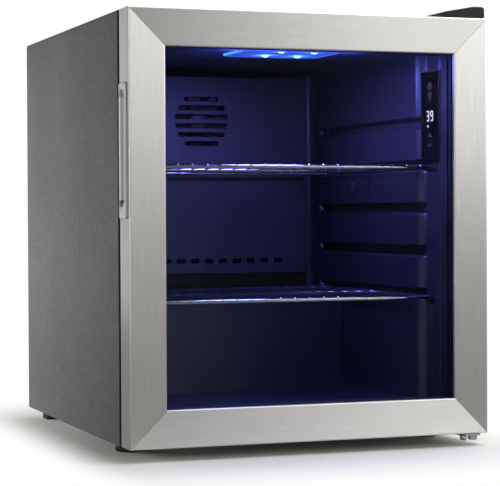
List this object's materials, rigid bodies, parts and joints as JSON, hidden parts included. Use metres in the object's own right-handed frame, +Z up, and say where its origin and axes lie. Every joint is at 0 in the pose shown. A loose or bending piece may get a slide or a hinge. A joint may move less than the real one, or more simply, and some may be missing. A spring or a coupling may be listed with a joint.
{
  "type": "mini fridge",
  "caption": "Compact compressor fridge for drinks cans: foamed steel cabinet, glass door in a stainless frame hinged at the right, wire shelves, lit inside.",
  "frame": {"origin": "on the floor under the middle of the fridge's bounding box, where its feet stand", "axes": "+Z up; -Y the way the closed door faces; +X to the right, the hinge side, seen from the front"},
  "size_m": [0.4395, 0.5, 0.5173],
  "materials": {
    "cabinet_steel": "satin, fine upright grain",
    "black_steel": "satin black enamel",
    "zinc_steel": "bright zinc plate",
    "stainless": "brushed along each rail",
    "chrome_wire": "polished",
    "copper": "drawn copper tube",
    "aluminium": "mill finish",
    "liner": "fine satin grain",
    "black_plastic": "satin moulded",
    "gloss_black": "gloss",
    "rubber": "matte",
    "foam": "rigid polyurethane foam",
    "circuit_board": "solder mask",
    "lamp_lens": "frosted, lit blue",
    "clear_glass": "clear, polished"
  },
  "bodies": {
    "cabinet": {"outer_shell": "cabinet_steel", "front_rail": "cabinet_steel", "inner_liner": "liner", "insulation_foam": "foam", "rear_panel": "black_steel", "base_pan": "zinc_steel", "machine_bay_cover": "zinc_steel", "left_rear_foot": "rubber", "right_rear_foot": "rubber", "compressor": "black_steel", "compressor_mount_1": "rubber", "compressor_mount_2": "rubber", "compressor_mount_3": "rubber", "compressor_mount_4": "rubber", "start_relay_box": "black_plastic", "drip_tray": "black_plastic", "condenser_coil": "black_steel", "discharge_pipe": "copper", "filter_dryer": "copper", "suction_pipe": "copper", "evaporator_plate": "aluminium", "duct_cover": "black_plastic", "fan_frame": "black_plastic", "lamp_board": "circuit_board", "lamp_cover": "lamp_lens", "control_panel_housing": "black_plastic", "control_panel_glass": "gloss_black", "temperature_sensor": "black_plastic", "cord_gland": "rubber", "top_hinge": "zinc_steel", "top_hinge_screw_1": "zinc_steel", "top_hinge_screw_2": "zinc_steel", "top_hinge_screw_3": "zinc_steel", "top_hinge_cover": "gloss_black", "bottom_hinge": "zinc_steel", "bottom_hinge_screw_1": "chrome_wire", "bottom_hinge_screw_2": "chrome_wire", "bottom_hinge_pin": "chrome_wire", "bottom_hinge_stop_screw": "chrome_wire"},
    "door": {"handle_plate": "stainless", "handle_screw": "zinc_steel", "door_rail_left": "stainless", "door_rail_right": "stainless", "door_rail_top": "stainless", "door_rail_bottom": "stainless", "door_frame": "black_plastic", "glass_outer": "clear_glass", "glass_inner": "clear_glass", "glass_spacer": "black_plastic", "door_gasket": "rubber", "bottom_bush": "black_plastic", "top_bush": "black_plastic", "top_plug": "black_plastic", "bottom_plug": "black_plastic"},
    "upper_shelf": {"upper_shelf": "chrome_wire"},
    "lower_shelf": {"lower_shelf": "chrome_wire"},
    "left_foot": {"left_levelling_foot": "black_plastic"},
    "right_foot": {"right_levelling_foot": "black_plastic"},
    "fan": {"fan_rotor": "black_plastic"}
  },
  "joints": [
    {"name": "door_hinge", "type": "hinge", "parent": "cabinet", "child": "door", "pos_m": [0.208, -0.232, 0.014], "axis": [0, 0, 1], "range_deg": [0, 125]},
    {"name": "upper_shelf_slide", "type": "slide", "parent": "cabinet", "child": "upper_shelf", "axis": [0, -1, 0], "range_m": [0, 0.012]},
    {"name": "lower_shelf_slide", "type": "slide", "parent": "cabinet", "child": "lower_shelf", "axis": [0, -1, 0], "range_m": [0, 0.012]},
    {"name": "left_foot_screw", "type": "slide", "parent": "cabinet", "child": "left_foot", "axis": [0, 0, -1], "range_m": [0, 0.01]},
    {"name": "right_foot_screw", "type": "slide", "parent": "cabinet", "child": "right_foot", "axis": [0, 0, -1], "range_m": [0, 0.01]},
    {"name": "fan_spin", "type": "hinge", "parent": "cabinet", "child": "fan", "pos_m": [0, 0.17, 0.4], "axis": [0, 1, 0], "continuous": true}
  ]
}
